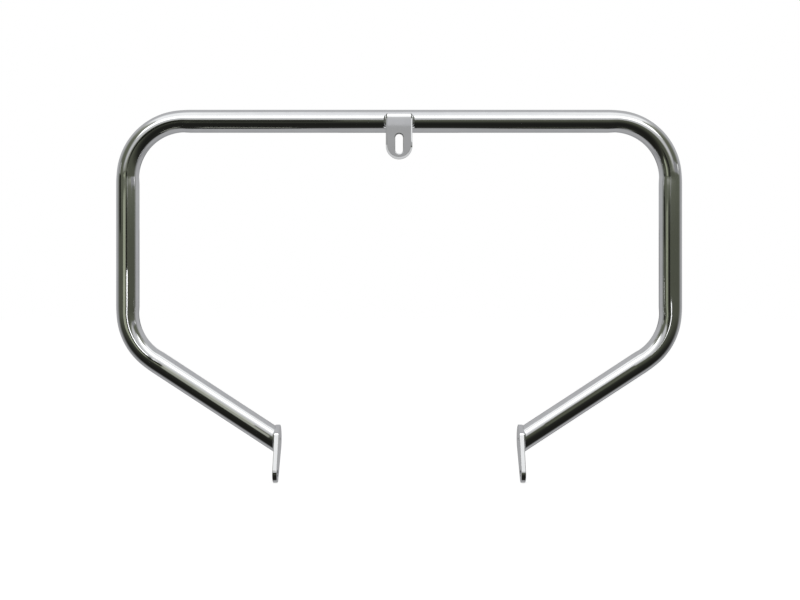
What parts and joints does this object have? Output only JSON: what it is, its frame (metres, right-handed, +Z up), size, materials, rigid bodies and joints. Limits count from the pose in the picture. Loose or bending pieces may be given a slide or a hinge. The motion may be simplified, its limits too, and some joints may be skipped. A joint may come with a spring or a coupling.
{
  "type": "motorcycle crash bar",
  "caption": "Chrome-plated bent-tube crash bar for a motorcycle, with a slotted bracket at the middle of its top rail and flat bolt-on plates at the ends of its lower arms.",
  "frame": {"origin": "middle of the bracket's slot, on the bracket's outer face", "axes": "+X to the right of someone who faces the bracket, -Y towards them out of the bracket's face, +Z up towards the top rail"},
  "size_m": [0.7908, 0.0623, 0.5164],
  "materials": {
    "tube_chrome": "mirror-polished chrome plating on steel tube",
    "plate_chrome": "chrome plating on less polished flat steel, slightly hazy",
    "weld_chrome": "chrome plating over a rippled weld bead"
  },
  "bodies": {
    "root": {"bar_tube": "tube_chrome", "centre_bracket": "plate_chrome", "centre_bracket_weld_left": "weld_chrome", "centre_bracket_weld_right": "weld_chrome", "left_end_plate": "plate_chrome", "right_end_plate": "plate_chrome", "left_plate_weld": "weld_chrome", "right_plate_weld": "weld_chrome"}
  },
  "joints": []
}
